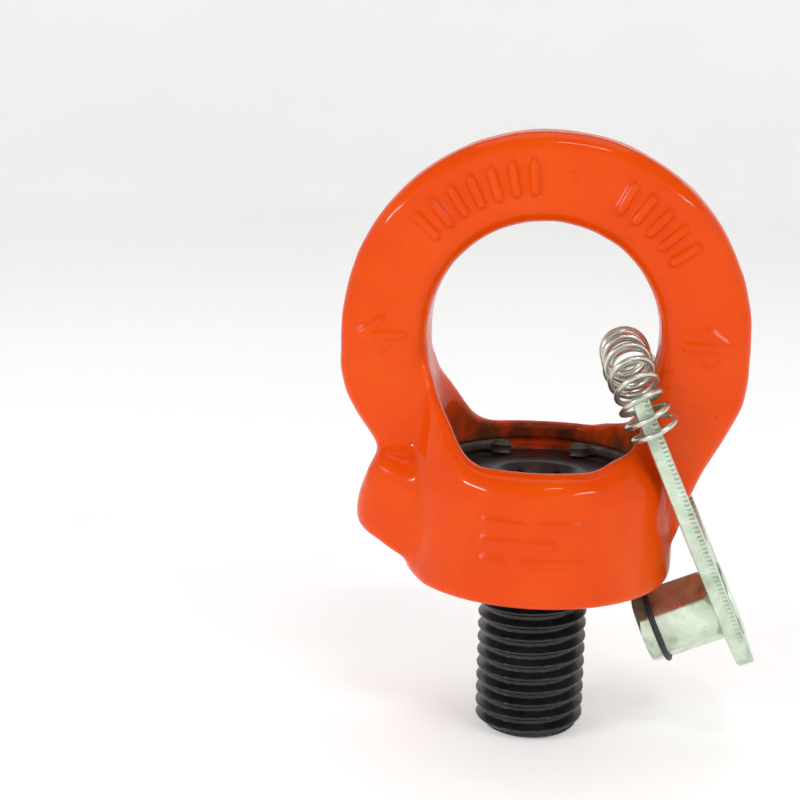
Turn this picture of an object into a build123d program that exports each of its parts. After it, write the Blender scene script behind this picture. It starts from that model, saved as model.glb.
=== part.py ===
from build123d import *
from math import cos, pi, radians, sin, tan
import os

# Swivel hoist ring, M20: a forged eye body that turns on a captive socket-head bolt,
# with a fork-shaped hex key parked on one leg by a looped coil spring.
# Frame: origin at the centre of the seat face on the bolt axis, +Z up, eye axis along Y,
# key on the +X leg, locating boss on the -X leg. Millimetres.

# --- eye ring ---
EYE_Z = 43.6
EYE_OUTER_R = 36.0
EYE_INNER_R = 20.5
RING_THICK = 15.0
RING_EDGE_R = 3.5
THROAT_ANGLE = 30.0
THROAT_CORNER_R = 6.0

# --- round base ---
BASE_R = 24.6
RIM_Z = 23.3
RIM_TURN_Z = 17.0
CLIMB_TOP_Z = 34.0
BASE_FOOT_R = 2.0

# --- thicker, higher rim on the -X side ---
RISE_FROM_X = 9.0
RISE_LOW_Z = 15.0
RISE_TOP_Z = 39.0

# --- locating boss on the -X side ---
BOSS_X = 33.0
BOSS_WIDE = 30.0
BOSS_MID_Z = 12.6
BOSS_HIGH = 25.0

# --- raised marks ---
MARK_HIGH = 0.5
MARK_R = 28.3
MARK_LONG = 5.9
MARK_WIDE = 1.3
MARK_STEP = 7.0
MARK_ROWS = ((34, 5), (95, 7))

# --- bolt seat in the base ---
SHANK_BORE_R = 10.5
RECESS_R = 19.0
RECESS_FLOOR_Z = 9.0
RECESS_TOP_Z = 40.0
CLIP_Z = 18.5
CLIP_THICK = 1.5
CLIP_GROOVE_R = 20.1
CLIP_GROOVE_HIGH = 1.6

# --- bolt, M20 x 2.5 ---
THREAD_R = 10.0
THREAD_PITCH = 2.5
THREAD_CREST = THREAD_PITCH / 8
THREAD_DEPTH = 1.35
THREAD_GROOVES = 11
THREAD_START_Z = -1.0
NECK_R = 9.5
BOLT_END_Z = -30.0
BOLT_END_CHAMFER = 1.5
HEAD_R = 18.6
HEAD_LOW_Z = 9.3
HEAD_TOP_Z = 18.2
HEAD_CHAMFER = 0.8
SOCKET_AF = 12.2
SOCKET_DEPTH = 11.0
SOCKET_MOUTH_R = 8.0

# --- retaining ring ---
CLIP_OUTER_R = 20.0
CLIP_INNER_R = 17.3
CLIP_OFFSET = 0.5
LUG_X = 7.0
LUG_Y = 14.4
LUG_R = 2.4
LUG_HOLE_R = 1.25

# --- hex key, stamped fork plate with a riveted hex plug ---
KEY_TILT = 24.0
KEY_X = 33.1
KEY_Z = -4.9
PLATE_THICK = 3.0
PLATE_EDGE = 0.3
DISC_R = 12.0
FLANK_AT = 17.0
ARM_OUTER = 15.0
ARM_INNER = 10.5
ARM_TAPER_AT = 33.5
ARM_TIP_OUTER = 13.8
ARM_TIP_AT = 43.5
SLOT_END_AT = 11.6
HEX_AF = 12.0
HEX_LENGTH = 14.0
HEX_CORNER_R = HEX_AF / 2 / cos(radians(30))
SPIGOT_R = 4.0
RIVET_R = 7.0
RIVET_HIGH = 0.4
O_RING_AT = 11.2
O_RING_WIRE_R = 0.55
O_RING_GROOVE_R = 6.0

# --- key spring ---
WIRE_R = 0.5
COIL_R = 3.9
COIL_TURNS = 15
COIL_STEPS = 12
COIL_HALF_SPAN = 13.2
COIL_ARCH = 10.0
COIL_START_AT = 36.2
COIL_BEND_AT = 39.5

os.makedirs("parts", exist_ok=True)

front_face = Plane.XZ.offset(RING_THICK / 2)
back_face = Plane(origin=(0, RING_THICK / 2, 0), x_dir=(-1, 0, 0), z_dir=(0, 1, 0))
tilt = radians(KEY_TILT)
key_plane = Plane(
    origin=(KEY_X, 0, KEY_Z),
    x_dir=(-sin(tilt), 0, cos(tilt)),
    z_dir=(-cos(tilt), 0, -sin(tilt)),
)


# ---------------------------------------------------------------- ring body
# Outlines as (x, z), climbs of the rim up the legs as (half width, z), the boss plan as (x, y).
shoulder = [(35.3, 33.5), (32.7, 27.2), (29.6, 21.3), (26.9, 15.4), (25.1, 9.2)]
boss_shoulder = [(-35.3, 33.5), (-32.2, 27.2), (-28.6, 21.8), (-26.9, 15.4), (-25.1, 9.2)]
climb = [(25, 21.3), (19, 23.8), (14, 24.9), (10, 26.8), (7.5, 32)]
high_climb = [(25, 21.3), (19, 24.3), (14, 28.3), (10.5, 33), (7.5, RISE_TOP_Z)]
boss_side = [(-27, 25), (-29.4, 20.6), (-32.2, 15), (-BOSS_X, 11), (-32.9, 8.9)]
boss_side += [(-31, 7.4), (-27.9, 6.6), (-24.8, 4.4), (-21, 1)]
boss_plan = [(-BOSS_X, 0), (-32.5, 6), (-29.8, 9.8), (-25, 12.4), (-20, 15)]
rim_profile = [(BASE_R, RIM_TURN_Z), (24.1, 20.5), (22.5, 23), (20.6, 26.5), (19.8, CLIMB_TOP_Z)]
rise_profile = [(BASE_R, RIM_TURN_Z), (24.1, 20.5), (22.9, 23), (22.4, 27), (21.8, RISE_TOP_Z)]
foot = (BASE_R - 0.6, 2.5)
down = (0, -1)
up = (0, 1)
throat = radians(THROAT_ANGLE)
throat_drop = EYE_Z - EYE_INNER_R * sin(throat) - RIM_Z
rim_x = EYE_INNER_R * cos(throat) - throat_drop * tan(throat)

# Round base with a rolled top edge; its rim climbs into the legs on either side of the throat.
with BuildPart() as base_blank:
    with BuildSketch(Plane.XZ) as base_section:
        with BuildLine():
            rim_side = Spline(*rim_profile, tangents=(up, up))
            Polyline(rim_side @ 1, (0, CLIMB_TOP_Z), (0, 0), (BASE_R, 0), rim_side @ 0)
        make_face()
        foot_corner = base_section.vertices().filter_by(lambda v: v.X > BASE_R - 0.1 and v.Y < 0.1)
        fillet(foot_corner, BASE_FOOT_R)
    revolve(axis=Axis.Z)

    with BuildSketch(Plane.YZ):
        with BuildLine():
            side = Spline(*climb, tangents=((-1, 0.5), up))
            mirrored = Spline(*[(-y, z) for y, z in climb], tangents=((1, 0.5), up))
            Line(side @ 1, mirrored @ 1)
            Polyline(mirrored @ 0, (-25, -1), (25, -1), side @ 0)
        make_face()
    extrude(amount=BASE_R, both=True, mode=Mode.INTERSECT)

# On the -X side the rim is thicker and climbs higher up the leg.
with BuildPart() as left_rise:
    with BuildSketch(Plane.XZ):
        with BuildLine():
            rise_side = Spline(*rise_profile, tangents=(up, up))
            Polyline(rise_side @ 1, (0, RISE_TOP_Z), (0, RIM_TURN_Z), rise_side @ 0)
        make_face()
    revolve(axis=Axis.Z)

    with BuildSketch(Plane.YZ.offset(-RISE_FROM_X)):
        with BuildLine():
            side = Spline(*high_climb, tangents=((-1, 0.5), up))
            mirrored = Spline(*[(-y, z) for y, z in high_climb], tangents=((1, 0.5), up))
            Line(side @ 1, mirrored @ 1)
            Polyline(mirrored @ 0, (-25, RISE_LOW_Z), (25, RISE_LOW_Z), side @ 0)
        make_face()
    extrude(amount=-BASE_R, mode=Mode.INTERSECT)

# Locating boss: a front outline, a plan and an end view, all three cut from one block.
with BuildPart() as boss:
    with BuildSketch(Plane.XZ):
        with BuildLine():
            nose = Spline(*boss_side)
            Polyline(nose @ 1, (-15, 1), (-15, 25), nose @ 0)
        make_face()
    extrude(amount=BOSS_WIDE, both=True)
    with BuildSketch():
        with BuildLine():
            cheek = Spline(*boss_plan, tangents=((0, 1), (1, 0.8)))
            mirror(about=Plane.XZ)
            Polyline(cheek @ 1, (-14, 15), (-14, -15), (-20, -15))
        make_face()
    extrude(amount=BOSS_WIDE, both=True, mode=Mode.INTERSECT)
    with BuildSketch(Plane.YZ):
        with Locations((0, BOSS_MID_Z)):
            Ellipse(BOSS_WIDE / 2, BOSS_HIGH / 2)
    extrude(amount=-2 * BASE_R, mode=Mode.INTERSECT)

with BuildPart() as ring_body:
    # Eye and shoulders, seen from the front.
    with BuildSketch(Plane.XZ) as outline:
        with BuildLine():
            top = CenterArc((0, EYE_Z), EYE_OUTER_R, 0, 180)
            right = Spline(top @ 0, *shoulder, foot, tangents=(down, down))
            left = Spline(top @ 1, *boss_shoulder, (-foot[0], foot[1]), tangents=(down, down))
            Line(right @ 1, left @ 1)
        make_face()
        # Opening: round above, drawn in to a flat throat over the base.
        with BuildLine():
            upper = CenterArc((0, EYE_Z), EYE_INNER_R, -THROAT_ANGLE, 180 + 2 * THROAT_ANGLE)
            lower = Polyline(upper @ 1, (-rim_x, RIM_Z), (rim_x, RIM_Z), upper @ 0)
        make_face(mode=Mode.SUBTRACT)
        corners = outline.vertices().filter_by(lambda v: abs(v.Y - RIM_Z) < 0.01)
        fillet(corners, THROAT_CORNER_R)
    extrude(amount=RING_THICK / 2, both=True)
    fillet(ring_body.faces().filter_by(Axis.Y).edges(), RING_EDGE_R)

    add(base_blank.part)
    add(left_rise.part)
    add(boss.part)

    # Throat through the climbing rim, to the outline of the eye's lower half.
    with BuildSketch(Plane.XZ) as throat_cut:
        with BuildLine():
            rise = CenterArc((0, EYE_Z), EYE_INNER_R, -THROAT_ANGLE, THROAT_ANGLE)
            fall = CenterArc((0, EYE_Z), EYE_INNER_R, 180, THROAT_ANGLE)
            Line(rise @ 1, fall @ 0)
            Polyline(fall @ 1, (-rim_x, RIM_Z), (rim_x, RIM_Z), rise @ 0)
        make_face()
        corners = throat_cut.vertices().filter_by(lambda v: abs(v.Y - RIM_Z) < 0.01)
        fillet(corners, THROAT_CORNER_R)
    extrude(amount=BASE_R, both=True, mode=Mode.SUBTRACT)

    # Bolt seat: shank bore, head recess cut down between the legs, retaining-ring groove.
    Cylinder(SHANK_BORE_R, 60, mode=Mode.SUBTRACT)
    with Locations((0, 0, RECESS_FLOOR_Z)):
        Cylinder(
            RECESS_R,
            RECESS_TOP_Z - RECESS_FLOOR_Z,
            align=(Align.CENTER, Align.CENTER, Align.MIN),
            mode=Mode.SUBTRACT,
        )
    with Locations((0, 0, CLIP_Z)):
        Cylinder(
            CLIP_GROOVE_R,
            CLIP_GROOVE_HIGH,
            align=(Align.CENTER, Align.CENTER, Align.MIN),
            mode=Mode.SUBTRACT,
        )

    # Raised marks on both faces: radial bars over the eye, an arrow head out along each pull direction.
    with BuildSketch(front_face, back_face):
        with Locations((0, EYE_Z)):
            for first_angle, count in MARK_ROWS:
                with PolarLocations(MARK_R, count, first_angle, MARK_STEP * (count - 1), endpoint=True):
                    Rectangle(MARK_LONG, MARK_WIDE)
        for side in (-1, 1):
            with Locations((side * MARK_R, EYE_Z)):
                Triangle(a=5, b=5, c=5, rotation=-90 * side)
    extrude(amount=MARK_HIGH)

ring_body.part.label = "ring_body"
export_step(ring_body.part, "parts/ring_body.step")


# ---------------------------------------------------------------- bolt
flank = THREAD_DEPTH * tan(radians(30))
root = THREAD_PITCH - THREAD_CREST - 2 * flank
bolt_side = [
    (0, HEAD_TOP_Z),
    (HEAD_R - HEAD_CHAMFER, HEAD_TOP_Z),
    (HEAD_R, HEAD_TOP_Z - HEAD_CHAMFER),
    (HEAD_R, HEAD_LOW_Z),
    (NECK_R, HEAD_LOW_Z),
    (NECK_R, THREAD_START_Z + THREAD_CREST),
    (THREAD_R, THREAD_START_Z + THREAD_CREST),
]
for groove in range(THREAD_GROOVES):
    z = THREAD_START_Z - groove * THREAD_PITCH
    bolt_side.append((THREAD_R, z))
    bolt_side.append((THREAD_R - THREAD_DEPTH, z - flank))
    bolt_side.append((THREAD_R - THREAD_DEPTH, z - flank - root))
    bolt_side.append((THREAD_R, z - flank - root - flank))
bolt_side.append((THREAD_R, BOLT_END_Z + BOLT_END_CHAMFER))
bolt_side.append((THREAD_R - BOLT_END_CHAMFER, BOLT_END_Z))
bolt_side.append((0, BOLT_END_Z))

with BuildPart() as bolt:
    with BuildSketch(Plane.XZ):
        with BuildLine():
            Polyline(*bolt_side, close=True)
        make_face()
    revolve(axis=Axis.Z)

    # Hex socket with a turned mouth.
    with BuildSketch(Plane.XY.offset(HEAD_TOP_Z)):
        RegularPolygon(SOCKET_AF / 2, 6, major_radius=False, rotation=30)
    extrude(amount=-SOCKET_DEPTH, mode=Mode.SUBTRACT)
    with Locations((0, 0, HEAD_TOP_Z)):
        Cone(
            SOCKET_AF / 2 - 0.1,
            SOCKET_MOUTH_R,
            SOCKET_MOUTH_R - SOCKET_AF / 2 + 0.1,
            align=(Align.CENTER, Align.CENTER, Align.MAX),
            mode=Mode.SUBTRACT,
        )

bolt.part.label = "bolt"
export_step(bolt.part, "parts/bolt.step")


# ---------------------------------------------------------------- retaining ring
with BuildPart() as retaining_ring:
    with BuildSketch(Plane.XY.offset(CLIP_Z)):
        Circle(CLIP_OUTER_R)
        with Locations((0, CLIP_OFFSET)):
            Circle(CLIP_INNER_R, mode=Mode.SUBTRACT)
        with Locations((0, CLIP_OUTER_R)):
            Rectangle(2 * LUG_X, CLIP_OUTER_R - LUG_Y + 10, mode=Mode.SUBTRACT)
        with Locations((-LUG_X, LUG_Y), (LUG_X, LUG_Y)):
            Circle(LUG_R)
            Circle(LUG_HOLE_R, mode=Mode.SUBTRACT)
    extrude(amount=CLIP_THICK)

retaining_ring.part.label = "retaining_ring"
export_step(retaining_ring.part, "parts/retaining_ring.step")


# ---------------------------------------------------------------- key plate
with BuildPart() as key_plate:
    with BuildSketch(key_plane) as fork:
        with BuildLine():
            Polyline(
                (0, DISC_R),
                (FLANK_AT, ARM_OUTER),
                (ARM_TAPER_AT, ARM_OUTER),
                (ARM_TIP_AT, ARM_TIP_OUTER),
                (ARM_TIP_AT, -ARM_TIP_OUTER),
                (ARM_TAPER_AT, -ARM_OUTER),
                (FLANK_AT, -ARM_OUTER),
                (0, -DISC_R),
                close=True,
            )
        make_face()
        Circle(DISC_R)
        # Gap that straddles the leg, with a full-round end.
        with Locations((SLOT_END_AT + ARM_INNER, 0)):
            Circle(ARM_INNER, mode=Mode.SUBTRACT)
        with Locations((SLOT_END_AT + ARM_INNER, 0)):
            Rectangle(
                ARM_TIP_AT,
                2 * ARM_INNER,
                align=(Align.MIN, Align.CENTER),
                mode=Mode.SUBTRACT,
            )
        Circle(SPIGOT_R, mode=Mode.SUBTRACT)
    extrude(amount=-PLATE_THICK)

key_plate.part.label = "key_plate"
export_step(key_plate.part, "parts/key_plate.step")


# ---------------------------------------------------------------- hex plug
with BuildPart() as key_hex:
    with BuildSketch(key_plane):
        RegularPolygon(HEX_AF / 2, 6, major_radius=False, rotation=30)
    extrude(amount=HEX_LENGTH)

    # Turned corners at both ends: a cone on each end face.
    with BuildSketch(Plane(origin=key_plane.origin, x_dir=key_plane.x_dir, z_dir=key_plane.y_dir)):
        with BuildLine():
            Polyline(
                (0, 0),
                (HEX_AF / 2, 0),
                (HEX_CORNER_R + 0.2, -1.6),
                (HEX_CORNER_R + 0.2, -HEX_LENGTH + 0.8),
                (HEX_AF / 2 + 0.1, -HEX_LENGTH),
                (0, -HEX_LENGTH),
                close=True,
            )
        make_face()
    revolve(axis=Axis(key_plane.origin, key_plane.z_dir), mode=Mode.INTERSECT)

    # Groove for the O-ring.
    with BuildSketch(key_plane.offset(O_RING_AT - O_RING_WIRE_R)):
        Circle(HEX_CORNER_R + 1)
        Circle(O_RING_GROOVE_R, mode=Mode.SUBTRACT)
    extrude(amount=2 * O_RING_WIRE_R, mode=Mode.SUBTRACT)

    # Spigot through the plate, closed over as a flat rivet head.
    with BuildSketch(key_plane):
        Circle(SPIGOT_R)
    extrude(amount=-PLATE_THICK)
    with BuildSketch(key_plane.offset(-PLATE_THICK)):
        Circle(RIVET_R)
    extrude(amount=-RIVET_HIGH)

key_hex.part.label = "key_hex"
export_step(key_hex.part, "parts/key_hex.step")


# ---------------------------------------------------------------- O-ring
with BuildPart() as o_ring:
    with BuildSketch(Plane(origin=key_plane.origin, x_dir=key_plane.x_dir, z_dir=key_plane.y_dir)):
        with Locations((O_RING_GROOVE_R + O_RING_WIRE_R, -O_RING_AT)):
            Circle(O_RING_WIRE_R)
    revolve(axis=Axis(key_plane.origin, key_plane.z_dir))

o_ring.part.label = "o_ring"
export_step(o_ring.part, "parts/o_ring.step")


# ---------------------------------------------------------------- key spring
# The coil runs up one arm, arches over to the other arm and back down it.
limb_angle = (COIL_BEND_AT - COIL_START_AT) / COIL_ARCH
sweep_angle = pi + 2 * limb_angle


def coil_centre(turned):
    """Centre line of the coil and its inward normal, in the plate's mid plane."""
    angle = turned - limb_angle - pi / 2
    if angle < -pi / 2:
        return COIL_BEND_AT + (angle + pi / 2) * COIL_ARCH, -COIL_HALF_SPAN, 0, 1
    if angle > pi / 2:
        return COIL_BEND_AT - (angle - pi / 2) * COIL_ARCH, COIL_HALF_SPAN, 0, -1
    across = -COIL_ARCH * sin(angle)
    along = -COIL_HALF_SPAN * cos(angle)
    size = (across**2 + along**2) ** 0.5
    return (
        COIL_BEND_AT + COIL_ARCH * cos(angle),
        COIL_HALF_SPAN * sin(angle),
        along / size,
        across / size,
    )


def coil_point(step):
    """Point on the wire's centre line after a number of steps."""
    x, y, normal_x, normal_y = coil_centre(sweep_angle * step / (COIL_TURNS * COIL_STEPS))
    turn = 2 * pi * step / COIL_STEPS
    out = COIL_R * cos(turn)
    return key_plane.from_local_coords(
        Vector(x + out * normal_x, y + out * normal_y, COIL_R * sin(turn) - PLATE_THICK / 2)
    )


with BuildPart() as key_spring:
    with BuildLine() as wire:
        Spline(*[coil_point(step) for step in range(COIL_TURNS * COIL_STEPS + 1)])
    with BuildSketch(Plane(origin=wire.edge() @ 0, z_dir=wire.edge() % 0)):
        Circle(WIRE_R)
    sweep(is_frenet=True)

key_spring.part.label = "key_spring"
export_step(key_spring.part, "parts/key_spring.step")
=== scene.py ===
import math

import bmesh
import bpy
import numpy as np
from mathutils import Matrix, Vector, noise


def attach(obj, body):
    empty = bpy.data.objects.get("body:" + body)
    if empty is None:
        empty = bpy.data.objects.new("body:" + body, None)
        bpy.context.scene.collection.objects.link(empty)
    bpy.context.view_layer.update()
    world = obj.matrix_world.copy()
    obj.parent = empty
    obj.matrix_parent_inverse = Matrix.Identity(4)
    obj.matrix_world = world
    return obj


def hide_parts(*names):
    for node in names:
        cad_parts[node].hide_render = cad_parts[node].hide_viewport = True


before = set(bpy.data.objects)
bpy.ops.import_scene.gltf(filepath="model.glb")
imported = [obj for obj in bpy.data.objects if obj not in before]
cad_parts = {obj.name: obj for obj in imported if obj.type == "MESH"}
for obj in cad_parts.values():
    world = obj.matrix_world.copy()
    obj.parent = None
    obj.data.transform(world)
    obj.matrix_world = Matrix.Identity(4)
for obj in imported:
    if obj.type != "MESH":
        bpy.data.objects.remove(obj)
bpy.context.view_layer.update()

# Named sizes of the part are in millimetres. Meshes, lights and materials are in metres.
scene = bpy.context.scene
scene.view_settings.view_transform = "Standard"
MM = 0.001
TAU = 2 * math.pi


def linked(name, data):
    """A new object in the scene."""
    piece = bpy.data.objects.new(name, data)
    scene.collection.objects.link(piece)
    return piece


# ---------------------------------------------------------------- camera
CAMERA_AT = Vector((4.85, -260.62, 86.45)) * MM
CAMERA_TURN = math.radians(6.66)
CAMERA_DOWN = math.radians(12.05)
CAMERA_ROLL = math.radians(1.22)
CAMERA_LENS = 66.2
CAMERA_SENSOR = 36.0
CAMERA_NEAR = 10 * MM
CAMERA_FAR = 10000 * MM


def make_camera():
    ahead = Vector((
        -math.sin(CAMERA_TURN) * math.cos(CAMERA_DOWN),
        math.cos(CAMERA_TURN) * math.cos(CAMERA_DOWN),
        -math.sin(CAMERA_DOWN),
    ))
    level = ahead.cross(Vector((0, 0, 1))).normalized()
    upright = level.cross(ahead)
    right = math.cos(CAMERA_ROLL) * level + math.sin(CAMERA_ROLL) * upright
    up = right.cross(ahead)
    data = bpy.data.cameras.new("camera")
    data.lens = CAMERA_LENS
    data.sensor_width = CAMERA_SENSOR
    data.clip_start = CAMERA_NEAR
    data.clip_end = CAMERA_FAR
    camera = linked("camera", data)
    turn = Matrix((right, up, -ahead)).transposed().to_4x4()
    camera.matrix_world = Matrix.Translation(CAMERA_AT) @ turn
    scene.camera = camera


make_camera()


# ---------------------------------------------------------------- mesh helpers
LATHE_COLUMNS = 144


def finished(mesh, sharp=None):
    """A smooth-shaded object of the mesh; edges that turn by more than sharp degrees stay sharp."""
    mesh.shade_smooth()
    if sharp is not None:
        mesh.set_sharp_from_angle(angle=math.radians(sharp))
    return linked(mesh.name, mesh)


def new_object(name, verts, faces, sharp=None):
    mesh = bpy.data.meshes.new(name)
    mesh.from_pydata([tuple(v) for v in verts], [], faces)
    mesh.validate()
    bm = bmesh.new()
    bm.from_mesh(mesh)
    bmesh.ops.recalc_face_normals(bm, faces=bm.faces)
    bm.to_mesh(mesh)
    bm.free()
    return finished(mesh, sharp)


def grid_faces(rows, columns):
    """The faces between rows of points, each row closed on itself."""
    faces = []
    for i in range(rows - 1):
        for j in range(columns):
            a = i * columns + j
            b = i * columns + (j + 1) % columns
            faces.append((a, b, b + columns, a + columns))
    return faces


def lathe(rows, radius):
    """Rows that start with a height, turned about Z by radius(angle, row), and capped at both ends."""
    verts = []
    for row in rows:
        for j in range(LATHE_COLUMNS):
            angle = TAU * j / LATHE_COLUMNS
            r = radius(angle, row)
            verts.append((r * math.cos(angle), r * math.sin(angle), row[0]))
    faces = grid_faces(len(rows), LATHE_COLUMNS)
    top, bottom = len(verts), len(verts) + 1
    verts.append((0, 0, rows[0][0]))
    verts.append((0, 0, rows[-1][0]))
    first = (len(rows) - 1) * LATHE_COLUMNS
    for j in range(LATHE_COLUMNS):
        k = (j + 1) % LATHE_COLUMNS
        faces.append((top, k, j))
        faces.append((bottom, first + j, first + k))
    return verts, faces


def hex_radius(angle, across_flats):
    """Distance from the axis to a hexagon's side, with a corner at angle 0."""
    side = angle % (math.pi / 3) - math.pi / 6
    return across_flats / 2 / math.cos(side)


def smooth_step(x):
    x = np.clip(x, 0.0, 1.0)
    return x * x * (3 - 2 * x)


def above(value, start, width):
    """0 up to the start, easing to 1 over the width past it."""
    return smooth_step((value - start) / width)


def below(value, end, width):
    """0 from the end on, easing to 1 over the width before it."""
    return smooth_step((end - value) / width)


# ---------------------------------------------------------------- materials
# Painted shade: where dark brown is painted into the orange, low down inside the bolt's recess.
RECESS_SHADE_RADII = (18.8 * MM, 20.5 * MM)
RECESS_SHADE_HEIGHTS = (21.0 * MM, 30.0 * MM)
RECESS_SHADE_RAGGED = 4.0 * MM


class Shader:
    """A node material made a socket at a time."""

    def __init__(self, name, **constants):
        self.material = bpy.data.materials.new(name)
        self.material.use_nodes = True
        self.tree = self.material.node_tree
        self.bsdf = self.tree.nodes["Principled BSDF"]
        for key, value in constants.items():
            self.bsdf.inputs[key.replace("_", " ")].default_value = value
        self.place = self.add("ShaderNodeTexCoord").outputs["Object"]

    def add(self, kind, **settings):
        node = self.tree.nodes.new(kind)
        for key, value in settings.items():
            setattr(node, key, value)
        return node

    def link(self, source, target):
        self.tree.links.new(source, target)

    def noise(self, scale, detail, distortion=0.0):
        node = self.add("ShaderNodeTexNoise")
        node.inputs["Scale"].default_value = scale
        node.inputs["Detail"].default_value = detail
        node.inputs["Roughness"].default_value = 0.55
        node.inputs["Distortion"].default_value = distortion
        self.link(self.place, node.inputs["Vector"])
        return node.outputs["Fac"]

    def ramp(self, source, stops):
        node = self.add("ShaderNodeValToRGB")
        element = node.color_ramp.elements
        while len(element) < len(stops):
            element.new(0.5)
        for item, (position, colour) in zip(element, stops):
            item.position = position
            item.color = (*colour, 1)
        self.link(source, node.inputs["Fac"])
        return node.outputs["Color"]

    def span(self, source, low, high, to_low, to_high):
        node = self.add("ShaderNodeMapRange")
        node.inputs["From Min"].default_value = low
        node.inputs["From Max"].default_value = high
        node.inputs["To Min"].default_value = to_low
        node.inputs["To Max"].default_value = to_high
        self.link(source, node.inputs["Value"])
        return node.outputs["Result"]

    def math(self, operation, a, b=None):
        node = self.add("ShaderNodeMath", operation=operation)
        for socket, value in zip(node.inputs, (a, b)):
            if value is None:
                continue
            if isinstance(value, (int, float)):
                socket.default_value = value
            else:
                self.link(value, socket)
        return node.outputs[0]

    def mix(self, factor, a, b):
        """Colours a and b mixed; inputs 6 and 7 and output 2 are the node's colour sockets."""
        node = self.add("ShaderNodeMix", data_type="RGBA")
        self.link(factor, node.inputs["Factor"])
        for socket, value in ((node.inputs[6], a), (node.inputs[7], b)):
            if isinstance(value, tuple):
                socket.default_value = (*value, 1)
            else:
                self.link(value, socket)
        return node.outputs[2]

    def bump(self, *layers):
        """Layers of (height source, strength, distance), each on top of the one before."""
        previous = None
        for source, strength, distance in layers:
            node = self.add("ShaderNodeBump")
            node.inputs["Strength"].default_value = strength
            node.inputs["Distance"].default_value = distance
            self.link(source, node.inputs["Height"])
            if previous is not None:
                self.link(previous, node.inputs["Normal"])
            previous = node.outputs["Normal"]
        self.link(previous, self.bsdf.inputs["Normal"])

    def set(self, **sockets):
        for key, value in sockets.items():
            self.link(value, self.bsdf.inputs[key.replace("_", " ")])
        return self.material


def orange_paint():
    """Glossy orange paint, with painted shade darkening it low down inside the recess."""
    s = Shader(
        "orange_paint",
        Coat_Weight=0.45,
        Coat_Roughness=0.05,
        Coat_IOR=1.4,
        IOR=1.4,
        Specular_IOR_Level=0.02,
    )
    stops = [(0.3, (0.74, 0.058, 0.0005)), (0.55, (0.78, 0.069, 0.0008)), (0.75, (0.80, 0.084, 0.001))]
    colour = s.ramp(s.noise(70, 4), stops)
    xyz = s.add("ShaderNodeSeparateXYZ")
    s.link(s.place, xyz.inputs[0])
    x, y, z = xyz.outputs
    radius = s.math("SQRT", s.math("ADD", s.math("MULTIPLY", x, x), s.math("MULTIPLY", y, y)))
    ragged = s.math("MULTIPLY", s.math("SUBTRACT", s.noise(240, 5), 0.5), RECESS_SHADE_RAGGED)
    in_recess = s.span(s.math("ADD", radius, ragged), *RECESS_SHADE_RADII, 1, 0)
    low_down = s.span(s.math("ADD", z, s.math("MULTIPLY", ragged, 2.5)), *RECESS_SHADE_HEIGHTS, 1, 0)
    dark = s.math("MULTIPLY", in_recess, low_down)
    # Painted shade: dark brown paint low down inside the recess, where shade falls.
    painted_recess_shade = s.ramp(s.noise(75, 4), [(0.36, (0.055, 0.040, 0.018)), (0.62, (0.185, 0.042, 0.014))])
    colour = s.mix(dark, colour, painted_recess_shade)
    speck = s.span(s.noise(900, 2), 0.74, 0.78, 0, 1)
    colour = s.mix(s.math("MULTIPLY", speck, 0.35), colour, (0.25, 0.03, 0.005))
    rough = s.math("ADD", s.span(s.noise(55, 3), 0.3, 0.7, 0.2, 0.34), s.math("MULTIPLY", dark, 0.3))
    s.bump(
        (s.noise(95, 2), 0.4, 0.0012),
        (s.noise(420, 3), 0.26, 0.00035),
        (s.noise(1900, 2), 0.12, 0.00008),
    )
    return s.set(Base_Color=colour, Roughness=rough)


def black_oxide():
    """Dark oiled steel, rubbed a little lighter in spots."""
    s = Shader("bolt_black", Metallic=0.55, Specular_IOR_Level=0.6, Coat_Weight=0.25, Coat_Roughness=0.2)
    tone = s.ramp(s.noise(260, 5), [(0.3, (0.010, 0.011, 0.010)), (0.7, (0.030, 0.031, 0.029))])
    rub = s.span(s.noise(800, 4), 0.62, 0.75, 0, 0.5)
    tone = s.mix(rub, tone, (0.075, 0.073, 0.068))
    s.bump((s.noise(300, 5), 0.25, 0.0002), (s.noise(1500, 3), 0.3, 0.00006))
    return s.set(Base_Color=tone, Roughness=s.span(s.noise(500, 4), 0.3, 0.7, 0.26, 0.46))


def clip_phosphate():
    """Dull grey-brown phosphated spring steel."""
    s = Shader("clip_phosphate", Metallic=0.6, Specular_IOR_Level=0.5)
    tone = s.ramp(s.noise(420, 5), [(0.3, (0.085, 0.076, 0.068)), (0.7, (0.165, 0.150, 0.135))])
    s.bump((s.noise(900, 5), 0.35, 0.0001))
    return s.set(Base_Color=tone, Roughness=s.span(s.noise(700, 4), 0.3, 0.7, 0.38, 0.6))


def zinc():
    """Pale greenish zinc plating, with stains and specks of grime."""
    s = Shader("key_zinc", Metallic=0.85, Specular_IOR_Level=0.6)
    stops = [(0.3, (0.32, 0.38, 0.29)), (0.46, (0.56, 0.66, 0.52)), (0.64, (0.74, 0.84, 0.70))]
    tone = s.ramp(s.noise(150, 5, distortion=0.6), stops)
    stain = s.span(s.noise(330, 4), 0.66, 0.74, 0, 0.5)
    tone = s.mix(stain, tone, (0.42, 0.40, 0.26))
    grime = s.span(s.noise(1300, 3), 0.68, 0.76, 0, 0.6)
    tone = s.mix(grime, tone, (0.16, 0.16, 0.14))
    s.bump((s.noise(240, 4), 0.25, 0.0003), (s.noise(1400, 4), 0.25, 0.00008))
    return s.set(Base_Color=tone, Roughness=s.span(s.noise(420, 5), 0.3, 0.7, 0.24, 0.48))


def spring_wire():
    """Bright zinc-plated wire."""
    s = Shader("spring_zinc", Metallic=0.9, Specular_IOR_Level=0.6)
    tone = s.ramp(s.noise(160, 3), [(0.3, (0.46, 0.49, 0.42)), (0.7, (0.72, 0.76, 0.67))])
    return s.set(Base_Color=tone, Roughness=s.span(s.noise(200, 2), 0.3, 0.7, 0.2, 0.3))


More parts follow.
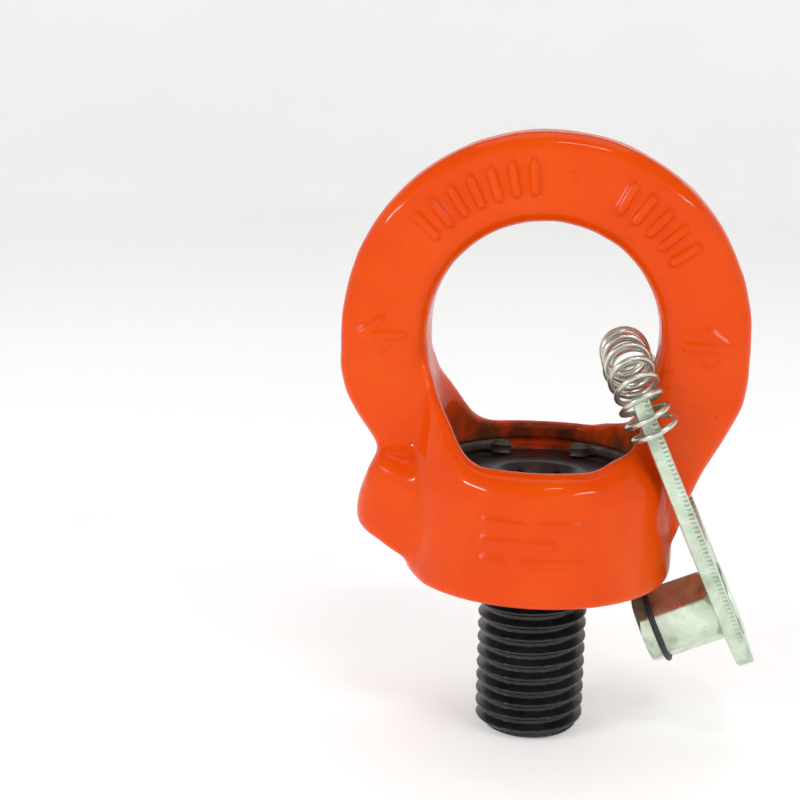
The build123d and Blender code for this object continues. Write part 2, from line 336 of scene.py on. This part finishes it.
def rubber():
    """Dull black rubber."""
    s = Shader("rubber_black", Specular_IOR_Level=0.45)
    tone = s.ramp(s.noise(600, 3), [(0.3, (0.014, 0.016, 0.014)), (0.7, (0.035, 0.038, 0.034))])
    s.bump((s.noise(2600, 2), 0.3, 0.00005))
    return s.set(Base_Color=tone, Roughness=s.span(s.noise(900, 2), 0.3, 0.7, 0.42, 0.6))


def finish_piece(piece, material, body, slot, *nodes):
    piece.data.materials.clear()
    piece.data.materials.append(material)
    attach(piece, body)
    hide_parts(*nodes)


# ---------------------------------------------------------------- forged ring body
EYE_Z = 43.6
RING_HALF = 7.5
RECESS_R = 19.0
RECESS_RIM_Z = 22.0
SEAT_MARGIN = 1.3
VOXEL = 0.42 * MM
ALL_STEPS = 3
SOFT_STEPS = 26
BLEND_STEPS = 130
BLEND_LEVELS = 10

# A pair is where an effect starts or ends and the width that it eases over, for above and below.
BOSS_BLEND_X = (19, 3)
BOSS_BLEND_TOP = (31, 5)
LEG_BLEND_TOP = (34, 6)
LEG_BLEND_FOOT = (17, 5)
LEG_BLEND_R = (20.4, 1.5)
SEAT_CLEAR_R = (RECESS_R + 3, 2)
SEAT_CLEAR_TOP = (RECESS_RIM_Z + 4, 3)
FOOT_CLEAR = (0, 2.5)
FACE_SQUARE = (0.75, 0.2)
FACE_Y = (RING_HALF - 1.2, 0.6)
BASE_SIDE_R = (22.5, 1)
BASE_SIDE_Y = 14

WAVE_HIGH = 0.16
WAVE_SCALE = 95
RIPPLE_SHARE = 0.45
RIPPLE_SCALE = 260
LUMP_HIGH = 0.3
LUMP_SCALE = 170
LUMP_OFFSET = Vector((3, 5, 7))
LUMP_X = (14, 8)
LUMP_TOP = (42, 10)
PARTING_HIGH = 0.16
PARTING_HALF = 0.7
PARTING_R = (30, 4)
PARTING_FOOT = (8, 8)

MARK_HIGH = 0.5
MARK_EASE_IN = 0.4
MARK_EASE = 0.7
FACE_MARK_HALF = 0.65
BASE_MARK_HALF = 0.6
BAR_ANGLES = (*range(34, 63, 7), *range(95, 138, 7))
BAR_RADII = (26.0, 30.6)
DOT_ANGLE = 82
DOT_RADII = (28.3, 28.8)
ARROW_TAIL_X = 24.6
ARROW_SHAFT_X = 31.4
ARROW_TIP_X = 32.0
ARROW_BARB_X = 28.4
ARROW_BARB_Z = 2.7
BASE_BARS = (
    (15.2, -8.5, -2.0),
    (15.2, 1.6, 7.8),
    (11.9, -8.5, 3.4),
    (8.6, -8.5, -5.0),
    (8.6, -1.4, 7.8),
)


def apply_modifiers(piece):
    """Runs the piece's modifiers into its mesh, and leaves no modifier."""
    ready = bpy.data.meshes.new_from_object(piece.evaluated_get(bpy.context.evaluated_depsgraph_get()))
    piece.modifiers.clear()
    piece.data = ready


def vertex_array(mesh, name):
    values = np.empty(len(mesh.vertices) * 3)
    mesh.vertices.foreach_get(name, values)
    return values.reshape(-1, 3)


def face_strokes():
    """Plain radial bars, a dot and two arrows as (x, z, x, z) on the eye's faces."""
    found = []
    radial = [(angle, BAR_RADII) for angle in BAR_ANGLES] + [(DOT_ANGLE, DOT_RADII)]
    for angle, (low, high) in radial:
        c, d = math.cos(math.radians(angle)), math.sin(math.radians(angle))
        found.append((low * c, EYE_Z + low * d, high * c, EYE_Z + high * d))
    for side in (-1, 1):
        found.append((side * ARROW_TAIL_X, EYE_Z, side * ARROW_SHAFT_X, EYE_Z))
        for barb in (-ARROW_BARB_Z, ARROW_BARB_Z):
            found.append((side * ARROW_BARB_X, EYE_Z + barb, side * ARROW_TIP_X, EYE_Z))
    return found


def base_strokes():
    """Plain level bars as (x, z, x, z) on the base's front and back."""
    return [(low, level, high, level) for level, low, high in BASE_BARS]


def segment_distance(px, pz, x0, z0, x1, z1):
    dx, dz = x1 - x0, z1 - z0
    t = np.clip(((px - x0) * dx + (pz - z0) * dz) / (dx * dx + dz * dz), 0, 1)
    return np.hypot(px - x0 - t * dx, pz - z0 - t * dz)


def raised(x, z, strokes, half):
    """1 on a stroke, easing to 0 beside it."""
    level = np.zeros(len(x))
    for stroke in strokes:
        near = segment_distance(x, z, *stroke)
        level = np.maximum(level, below(near, half + MARK_EASE_IN, MARK_EASE))
    return level


def remeshed_ring():
    """The CAD ring body as an even, closed mesh."""
    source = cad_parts["ring_body"]
    piece = linked("ring_forging", source.data.copy())
    bm = bmesh.new()
    bm.from_mesh(piece.data)
    bmesh.ops.remove_doubles(bm, verts=bm.verts, dist=1e-6)
    bm.to_mesh(piece.data)
    bm.free()
    remesh = piece.modifiers.new("remesh", "REMESH")
    remesh.mode = "VOXEL"
    remesh.voxel_size = VOXEL
    apply_modifiers(piece)
    return piece


def soften_forging(piece):
    """Rounds the forging: least in the bolt's seat, most at the boss and at the foot of each leg."""
    x, y, z = vertex_array(piece.data, "co").T / MM
    from_axis = np.hypot(x, y)
    seat = (from_axis < RECESS_R + SEAT_MARGIN) & (z < RECESS_RIM_Z)
    group = piece.vertex_groups.new(name="soft")
    group.add([int(i) for i in np.where(~seat)[0]], 1.0, "REPLACE")
    near_boss = above(-x, *BOSS_BLEND_X) * below(z, *BOSS_BLEND_TOP)
    near_leg = below(z, *LEG_BLEND_TOP) * above(z, *LEG_BLEND_FOOT) * above(from_axis, *LEG_BLEND_R)
    blend = np.maximum(near_boss, near_leg) * ~seat
    group = piece.vertex_groups.new(name="blend")
    for level in range(1, BLEND_LEVELS + 1):
        chosen = np.where(np.round(blend * BLEND_LEVELS) == level)[0]
        group.add([int(i) for i in chosen], level / BLEND_LEVELS, "REPLACE")
    for steps, name in ((ALL_STEPS, ""), (SOFT_STEPS, "soft"), (BLEND_STEPS, "blend")):
        soften = piece.modifiers.new("soften", "SMOOTH")
        soften.factor = 0.5
        soften.iterations = steps
        soften.vertex_group = name
    apply_modifiers(piece)


def lift_skin(piece):
    """Lifts the skin for the forging's waves and lumps, its parting line and its raised marks.

    The bolt's seat and the base's underside are left clear.
    """
    mesh = piece.data
    co = vertex_array(mesh, "co")
    normal = vertex_array(mesh, "normal")
    x, y, z = co.T / MM
    from_axis = np.hypot(x, y)
    from_eye = np.hypot(x, z - EYE_Z)
    clear = 1 - below(from_axis, *SEAT_CLEAR_R) * below(z, *SEAT_CLEAR_TOP)
    clear *= above(z, *FOOT_CLEAR)

    wave = np.array([noise.noise(Vector(p) * WAVE_SCALE) for p in co])
    ripple = np.array([noise.noise(Vector(p) * RIPPLE_SCALE) for p in co])
    lumps = np.array([noise.noise(Vector(p) * LUMP_SCALE + LUMP_OFFSET) for p in co])
    parting = np.exp(-((y / PARTING_HALF) ** 2)) * above(from_eye, *PARTING_R) * above(z, *PARTING_FOOT)
    on_face = above(np.abs(normal[:, 1]), *FACE_SQUARE) * above(np.abs(y), *FACE_Y)
    on_base = above(from_axis, *BASE_SIDE_R) * (np.abs(y) > BASE_SIDE_Y)

    lift = WAVE_HIGH * (wave + RIPPLE_SHARE * ripple)
    lift += LUMP_HIGH * lumps * above(-x, *LUMP_X) * below(z, *LUMP_TOP)
    lift += PARTING_HIGH * parting
    lift += MARK_HIGH * on_face * raised(x, z, face_strokes(), FACE_MARK_HALF)
    lift += MARK_HIGH * on_base * raised(x, z, base_strokes(), BASE_MARK_HALF)
    co += normal * (lift * clear * MM)[:, None]
    mesh.vertices.foreach_set("co", co.ravel())
    mesh.update()
    mesh.shade_smooth()


ring = remeshed_ring()
soften_forging(ring)
lift_skin(ring)
finish_piece(ring, orange_paint(), "ring", "orange_paint", "ring_body")


# ---------------------------------------------------------------- bolt with a helical thread
THREAD_R = 10.0
PITCH = 2.5
DEPTH = 1.45
FLANK_ROUND = 0.35
FLANK_CURVED = (0.9, 0.68)
FLANK_STRAIGHT = (0.88, 0.64)
RUNOUT_Z = -0.7
RUNOUT_LONG = 1.4
THREAD_STEP = 0.1
THREAD_TOP_Z = -0.6
NECK_R = 9.5
HEAD_R = 18.6
HEAD_LOW = 9.3
HEAD_TOP = 18.2
SOCKET_AF = 12.2
SOCKET_DEEP = 11.0
MOUTH_R = 8.0
MOUTH_STEPS = 24
MOUTH_STEP = 0.1
BOLT_END = -30.0
END_CHAMFER = 1.6
END_SLOPE = 1.05


def thread_radius(angle, z):
    """The helical thread's radius, with half-rounded flanks, a run-out at the neck and a chamfered end."""
    phase = ((z - PITCH * angle / TAU) / PITCH) % 1.0
    from_root = abs(phase - 0.5) * 2
    curved = float(below(from_root, *FLANK_CURVED))
    flank_end, flank_width = FLANK_STRAIGHT
    straight = min(1.0, max(0.0, (flank_end - from_root) / flank_width))
    cut = curved * FLANK_ROUND + straight * (1 - FLANK_ROUND)
    depth = DEPTH * float(below(z, RUNOUT_Z, RUNOUT_LONG))
    chamfered = THREAD_R - END_SLOPE * max(0.0, BOLT_END + END_CHAMFER - z)
    return min(THREAD_R - depth * cut, chamfered)


def bolt_radius(angle, row):
    z, kind, size = row
    if kind == "shank":
        return thread_radius(angle, z)
    if kind == "mouth":
        return max(hex_radius(angle, SOCKET_AF), size)
    if kind == "socket_floor":
        return hex_radius(angle, SOCKET_AF - 0.6)
    return size


def bolt_piece():
    """The bolt from its end up the shank, over the head and down into the hex socket."""
    rows = [(BOLT_END, "round", THREAD_R - 1.9), (BOLT_END, "shank", 0)]
    z = BOLT_END
    while z < THREAD_TOP_Z:
        z += THREAD_STEP
        rows.append((z, "shank", 0))
    rows += [(z, "round", r) for z, r in (
        (-0.45, NECK_R),
        (HEAD_LOW - 0.3, NECK_R),
        (HEAD_LOW, NECK_R + 0.3),
        (HEAD_LOW, HEAD_R - 0.4),
        (HEAD_LOW + 0.4, HEAD_R),
        (HEAD_TOP - 0.9, HEAD_R),
        (HEAD_TOP - 0.35, HEAD_R - 0.2),
        (HEAD_TOP - 0.08, HEAD_R - 0.55),
        (HEAD_TOP, HEAD_R - 1.0),
        (HEAD_TOP, HEAD_R - 2.6),
        (HEAD_TOP - 0.12, HEAD_R - 3.0),
        (HEAD_TOP - 0.12, HEAD_R - 4.0),
        (HEAD_TOP, HEAD_R - 4.4),
        (HEAD_TOP, MOUTH_R + 0.4),
        (HEAD_TOP - 0.04, MOUTH_R + 0.12),
    )]
    for step in range(MOUTH_STEPS):
        drop = step * MOUTH_STEP
        rows.append((HEAD_TOP - 0.1 - drop, "mouth", MOUTH_R - drop))
    rows.append((HEAD_TOP - SOCKET_DEEP + 0.3, "mouth", 0))
    rows.append((HEAD_TOP - SOCKET_DEEP, "socket_floor", 0))
    verts, faces = lathe(rows, bolt_radius)
    return new_object("bolt_turned", np.array(verts) * MM, faces, sharp=38)


finish_piece(bolt_piece(), black_oxide(), "bolt", "bolt_black", "bolt")


# ---------------------------------------------------------------- outlines for stamped parts
ARC_STEP = 0.25


def arc(centre, radius, start, end):
    """Points of an arc, from start to end in degrees."""
    count = max(8, int(abs(math.radians(end - start)) * radius / ARC_STEP))
    return [
        (centre[0] + radius * math.cos(math.radians(a)), centre[1] + radius * math.sin(math.radians(a)))
        for a in np.linspace(start, end, count)
    ]


def even_outline(points, spacing, soften):
    """The closed outline resampled evenly with its corners eased, and each point's length along it."""
    p = np.array(points + points[:1], float)
    length = np.concatenate([[0], np.cumsum(np.hypot(*np.diff(p, axis=0).T))])
    keep = np.concatenate([[True], np.diff(length) > 1e-9])
    p, length = p[keep], length[keep]
    count = int(length[-1] / spacing)
    s = np.linspace(0, length[-1], count, endpoint=False)
    line = np.stack([np.interp(s, length, p[:, k]) for k in range(2)], -1)
    for _ in range(soften):
        line = (np.roll(line, 1, 0) + 2 * line + np.roll(line, -1, 0)) / 4
    return line, s


def outline_inward(line):
    """The unit direction at each point of a closed outline, into the area that it bounds."""
    along = np.roll(line, -1, 0) - np.roll(line, 1, 0)
    along /= np.linalg.norm(along, axis=1)[:, None]
    inward = np.stack([-along[:, 1], along[:, 0]], -1)
    area = 0.5 * np.sum(line[:, 0] * np.roll(line[:, 1], -1) - line[:, 1] * np.roll(line[:, 0], -1))
    return inward if area > 0 else -inward


def stamped(name, outline, levels, place, holes=()):
    """A flat part: its outlines at each (height, inset) level, capped at both ends.

    An inset is one number or an array, with a value for each point of the outline.
    """
    bm = bmesh.new()
    caps = [[], []]
    for loop in (outline, *holes):
        into_metal = outline_inward(loop) if loop is outline else -outline_inward(loop)
        rows = []
        for height, inset in levels:
            flat = loop + into_metal * (inset if np.isscalar(inset) else inset[:, None])
            rows.append([bm.verts.new(place(px, py, height)) for px, py in flat])
        count = len(loop)
        for upper, lower in zip(rows, rows[1:]):
            for j in range(count):
                k = (j + 1) % count
                bm.faces.new((upper[j], upper[k], lower[k], lower[j]))
        caps[0].append(rows[0])
        caps[1].append(rows[-1])
    for cap in caps:
        edges = []
        for row in cap:
            for a, b in zip(row, row[1:] + row[:1]):
                edges.append(bm.edges.get((a, b)))
        bmesh.ops.triangle_fill(bm, edges=edges, use_beauty=True)
    bmesh.ops.recalc_face_normals(bm, faces=bm.faces)
    mesh = bpy.data.meshes.new(name)
    bm.to_mesh(mesh)
    bm.free()
    return finished(mesh, sharp=35)


# ---------------------------------------------------------------- retaining ring
CLIP_Z = 18.5
CLIP_HIGH = 1.5
CLIP_OUTER = 20.0
CLIP_INNER = 17.3
CLIP_SHIFT = 0.5
LUG_AT = (7.0, 14.4)
LUG_R = 2.4
LUG_HOLE = 1.25
LUG_GAP = 0.4
LUG_INNER_TURN = 13


def on_clip(px, py, height):
    return (px * MM, py * MM, (CLIP_Z + height) * MM)


def retaining_ring():
    lug_x, lug_y = LUG_AT
    inner_end = math.degrees(math.atan2(lug_y, lug_x)) - LUG_INNER_TURN
    outer_end = math.degrees(math.acos((lug_x + LUG_GAP) / CLIP_OUTER))
    points = arc((0, 0), CLIP_OUTER, 180 - outer_end, 360 + outer_end)
    points += arc((lug_x, lug_y), LUG_R, 120, -135)
    points += arc((0, CLIP_SHIFT), CLIP_INNER, inner_end, -180 - inner_end)
    points += arc((-lug_x, lug_y), LUG_R, 315, 60)
    line, _ = even_outline(points, spacing=0.3, soften=3)
    holes = [np.array(arc((side * lug_x, lug_y), LUG_HOLE, 0, 350)) for side in (-1, 1)]
    levels = [(CLIP_HIGH, 0.2), (CLIP_HIGH - 0.06, 0.06), (CLIP_HIGH - 0.2, 0), (0.15, 0), (0, 0.1)]
    return stamped("clip_ring", line, levels, on_clip, holes)


finish_piece(retaining_ring(), clip_phosphate(), "ring", "clip_phosphate", "retaining_ring")


# ---------------------------------------------------------------- key
KEY_TILT = math.radians(24.0)
KEY_AT = Vector((33.1, 0, -4.9))
KEY_UP = Vector((-math.sin(KEY_TILT), 0, math.cos(KEY_TILT)))
KEY_IN = Vector((-math.cos(KEY_TILT), 0, -math.sin(KEY_TILT)))
PLATE = 3.0
DISC_R = 12.0
DISC_ENDS = (98, 262)
FLANK_AT = 17
ARM_OUT = 15.0
ARM_IN = 10.5
ARM_TAPER = 33.5
ARM_TIP = 43.5
ARM_TIP_OUT = 13.8
SLOT_END = 11.6
TOOTH_PITCH = 0.84
TOOTH_LEAST = 0.04
TOOTH_DEEP = 0.24
HEX_AF = 12.0
HEX_FLAT_R = HEX_AF / 2
HEX_LONG = 14.0
HEX_FOOT = 0.02
FOOT_HIGH = 1.6
FOOT_WIDE = 1.1
FOOT_STEPS = 8
HEX_TIP = 0.8
TIP_HIGH = 0.75
TIP_WIDE = 0.9
TIP_STEPS = 6
CORNER_EASE = 0.12
NO_LIMIT = 9
O_RING_AT = 11.2
O_RING_WIRE = 0.55
O_RING_AROUND = 120
O_RING_SIDES = 20
GROOVE_R = 6.0
GROOVE_EDGE_R = 6.75


def on_key(along, across, inward):
    """A point measured up the key, across it and in towards the leg, placed in the scene."""
    along, across, inward = float(along), float(across), float(inward)
    return (KEY_AT + along * KEY_UP + across * Vector((0, 1, 0)) + inward * KEY_IN) * MM


def key_plate():
    """The fork plate, with the fine teeth of its sheared edge towards its outer face."""
    right = [(FLANK_AT, ARM_OUT), (ARM_TAPER, ARM_OUT), (ARM_TIP, ARM_TIP_OUT), (ARM_TIP, ARM_IN)]
    points = arc((0, 0), DISC_R, DISC_ENDS[1], DISC_ENDS[0])
    points += right
    points += arc((SLOT_END + ARM_IN, 0), ARM_IN, 90, 270)
    points += [(px, -py) for px, py in reversed(right)]
    line, s = even_outline(points, spacing=0.21, soften=10)
    teeth = TOOTH_LEAST + TOOTH_DEEP * (0.5 + 0.5 * np.cos(TAU * s / TOOTH_PITCH)) ** 2
    levels = [
        (0, 0.45),
        (-0.05, 0.22),
        (-0.18, 0.07),
        (-0.4, 0.0),
        (-1.95, 0.0),
        (-2.05, teeth * 0.9),
        (-2.45, teeth),
        (-2.78, teeth),
        (-2.86, 0.10),
        (-PLATE, 0.22),
    ]
    return stamped("key_fork", line, levels, on_key)


def plug_radius(angle, row):
    """The hexagon with its corners eased, no further out than the row's limit."""
    side = hex_radius(angle, HEX_AF)
    eased = side - CORNER_EASE * above(side, HEX_FLAT_R + 0.72, 0.21)
    return min(eased, row[1])


def key_plug():
    """The hex plug as rows of (height, limit), and the rivet's flat head on the plate's outer face."""
    rows = [(HEX_FOOT, HEX_FLAT_R)]
    for k in range(1, FOOT_STEPS + 1):
        rows.append((HEX_FOOT + FOOT_HIGH * k / FOOT_STEPS, HEX_FLAT_R + FOOT_WIDE * k / FOOT_STEPS))
    low, high = O_RING_AT - O_RING_WIRE, O_RING_AT + O_RING_WIRE
    rows += [(low - 0.08, NO_LIMIT), (low, GROOVE_EDGE_R), (low, GROOVE_R)]
    rows += [(high, GROOVE_R), (high, GROOVE_EDGE_R), (high + 0.08, NO_LIMIT)]
    tip = HEX_LONG - HEX_TIP
    rows.append((tip, NO_LIMIT))
    for k in range(TIP_STEPS + 1):
        rows.append((tip + TIP_HIGH * k / TIP_STEPS, HEX_FLAT_R + 0.93 - TIP_WIDE * k / TIP_STEPS))
    rows += [(HEX_LONG, HEX_FLAT_R - 0.15), (HEX_LONG, HEX_FLAT_R - 1.2)]
    verts, faces = lathe(rows, plug_radius)

    rivet = [(-PLATE + 0.1, 6.8), (-PLATE - 0.12, 7.0), (-PLATE - 0.3, 6.9), (-PLATE - 0.4, 6.6)]
    rivet += [(-PLATE - 0.4, 6.0), (-PLATE - 0.34, 5.2), (-PLATE - 0.26, 3.5), (-PLATE - 0.24, 1.0)]
    rivet_verts, rivet_faces = lathe(rivet, lambda angle, row: row[1])
    faces += [tuple(i + len(verts) for i in face) for face in rivet_faces]
    verts += rivet_verts
    return new_object("key_plug", [on_key(*v) for v in verts], faces, sharp=33)


def o_ring():
    major = GROOVE_R + O_RING_WIRE
    verts = []
    for i in range(O_RING_AROUND):
        a = TAU * i / O_RING_AROUND
        for j in range(O_RING_SIDES):
            b = TAU * j / O_RING_SIDES
            r = major + O_RING_WIRE * math.cos(b)
            height = O_RING_AT + O_RING_WIRE * math.sin(b)
            verts.append(on_key(r * math.cos(a), r * math.sin(a), height))
    faces = grid_faces(O_RING_AROUND, O_RING_SIDES)
    last = (O_RING_AROUND - 1) * O_RING_SIDES
    for j in range(O_RING_SIDES):
        k = (j + 1) % O_RING_SIDES
        faces.append((last + j, last + k, k, j))
    return new_object("o_ring_seal", verts, faces)


plate_zinc = zinc()
finish_piece(key_plate(), plate_zinc, "key", "key_zinc", "key_plate")
finish_piece(key_plug(), plate_zinc, "key", "key_zinc", "key_hex")
finish_piece(o_ring(), rubber(), "key", "rubber_black", "o_ring")


# ---------------------------------------------------------------- key spring
WIRE_R = 0.5
WIRE_STEPS = 40
WIRE_SIDES = 12
COIL_R = 3.9
COIL_TURNS = 15
COIL_HALF = 13.2
COIL_ARCH = 10.0
COIL_START = 36.2
COIL_BEND = 39.5
COIL_LIMB = (COIL_BEND - COIL_START) / COIL_ARCH
COIL_SAG = 0.5
WANDER = 0.1
WANDER_RATE = 23
FLUTTER = 0.06
FLUTTER_RATE = 61


def coil_centre(turned):
    """The coil's centre line as (along, across) on the key, and its outward direction there."""
    angle = turned - COIL_LIMB - math.pi / 2
    if angle < -math.pi / 2:
        return COIL_BEND + (angle + math.pi / 2) * COIL_ARCH, -COIL_HALF, 0, 1
    if angle > math.pi / 2:
        return COIL_BEND - (angle - math.pi / 2) * COIL_ARCH, COIL_HALF, 0, -1
    across, along = -COIL_ARCH * math.sin(angle), -COIL_HALF * math.cos(angle)
    size = math.hypot(across, along)
    return COIL_BEND + COIL_ARCH * math.cos(angle), COIL_HALF * math.sin(angle), along / size, across / size


def spring_line():
    """The wire's centre line: slightly uneven turns round an arch from one arm tip to the other."""
    total = COIL_TURNS * WIRE_STEPS
    points = []
    for step in range(total + 1):
        share = step / total
        px, py, nx, ny = coil_centre((math.pi + 2 * COIL_LIMB) * share)
        turn = TAU * step / WIRE_STEPS
        radius = COIL_R + WANDER * math.sin(share * WANDER_RATE) - FLUTTER * math.cos(share * FLUTTER_RATE)
        out = radius * math.cos(turn)
        sag = COIL_SAG * (2 * share - 1) ** 2
        points.append(on_key(px + out * nx, py + out * ny, radius * math.sin(turn) - PLATE / 2 - sag))
    return points


def wire_tube(name, points, radius):
    """A round tube along the points, with its ends capped and without twist."""
    verts = []
    count = len(points)
    side = (points[1] - points[0]).normalized().orthogonal().normalized()
    for i, p in enumerate(points):
        along = (points[min(i + 1, count - 1)] - points[max(i - 1, 0)]).normalized()
        side = (side - along * side.dot(along)).normalized()
        other = along.cross(side)
        for j in range(WIRE_SIDES):
            a = TAU * j / WIRE_SIDES
            verts.append(p + radius * (math.cos(a) * side + math.sin(a) * other))
    faces = grid_faces(count, WIRE_SIDES)
    for end in (0, count - 1):
        faces.append(tuple(end * WIRE_SIDES + j for j in range(WIRE_SIDES)))
    return new_object(name, verts, faces, sharp=50)


spring = wire_tube("spring_coil", spring_line(), WIRE_R * MM)
finish_piece(spring, spring_wire(), "key", "spring_zinc", "key_spring")


# ---------------------------------------------------------------- floor and lights, in metres
SWEEP_R = 1.9
SWEEP_CURVE_R = 0.5
SWEEP_TOP = 1.3
SWEEP_SIDES = 96
FLOOR_Z = BOLT_END * MM - 0.0004
WORLD_STRENGTH = 0.24
LIGHTS = (
    # name, place, aim, size, watts
    ("key_left", (-0.62, -0.47, 0.38), (0, 0, 0.04), (0.26, 0.035), 1.6),
    ("key_right", (0.5, -0.48, 0.47), (0, 0, 0.04), (0.24, 0.03), 1.1),
    ("rim_glint", (0.12, -0.42, 0.75), (0, 0, 0.03), (0.2, 0.03), 0.7),
    ("front_fill", (0.05, -1.2, 0.05), (0, 0, 0.03), (1.2, 0.5), 0.3),
    ("top_soft", (0.0, 0.2, 0.8), (0, 0, 0.02), (0.7, 0.5), 1.3),
)


def backdrop():
    """A pale round sweep: a floor that curves up into a low wall all the way round."""
    foot = SWEEP_R - SWEEP_CURVE_R
    profile = [(0.05, 0.0), (0.5, 0.0), (foot, 0.0)]
    for a in np.linspace(0.08, math.pi / 2, 24):
        profile.append((foot + SWEEP_CURVE_R * math.sin(a), SWEEP_CURVE_R * (1 - math.cos(a))))
    profile.append((SWEEP_R, SWEEP_TOP))
    turns = [TAU * k / SWEEP_SIDES for k in range(SWEEP_SIDES)]
    verts = [(r * math.cos(t), r * math.sin(t), FLOOR_Z + up) for r, up in profile for t in turns]
    faces = grid_faces(len(profile), SWEEP_SIDES)
    faces.append(tuple(range(SWEEP_SIDES)))
    floor = new_object("backdrop", verts, faces)
    s = Shader(
        "backdrop_white",
        Roughness=0.85,
        Specular_IOR_Level=0.2,
        Emission_Color=(1, 1, 1, 1),
        Emission_Strength=0.31,
    )
    tone = s.ramp(s.noise(3, 2), [(0.3, (0.90, 0.90, 0.895)), (0.7, (0.93, 0.93, 0.925))])
    s.bump((s.noise(60, 2), 0.02, 0.001))
    floor.data.materials.append(s.set(Base_Color=tone))


def area_light(name, at, aim, size, power):
    data = bpy.data.lights.new(name, "AREA")
    data.shape = "RECTANGLE"
    data.size, data.size_y = size
    data.energy = power
    lamp = linked(name, data)
    lamp.location = at
    lamp.rotation_euler = (Vector(aim) - Vector(at)).to_track_quat("-Z", "Y").to_euler()


backdrop()
for light in LIGHTS:
    area_light(*light)
world = bpy.data.worlds.new("studio")
world.use_nodes = True
world.node_tree.nodes["Background"].inputs["Color"].default_value = (1, 1, 1, 1)
world.node_tree.nodes["Background"].inputs["Strength"].default_value = WORLD_STRENGTH
scene.world = world
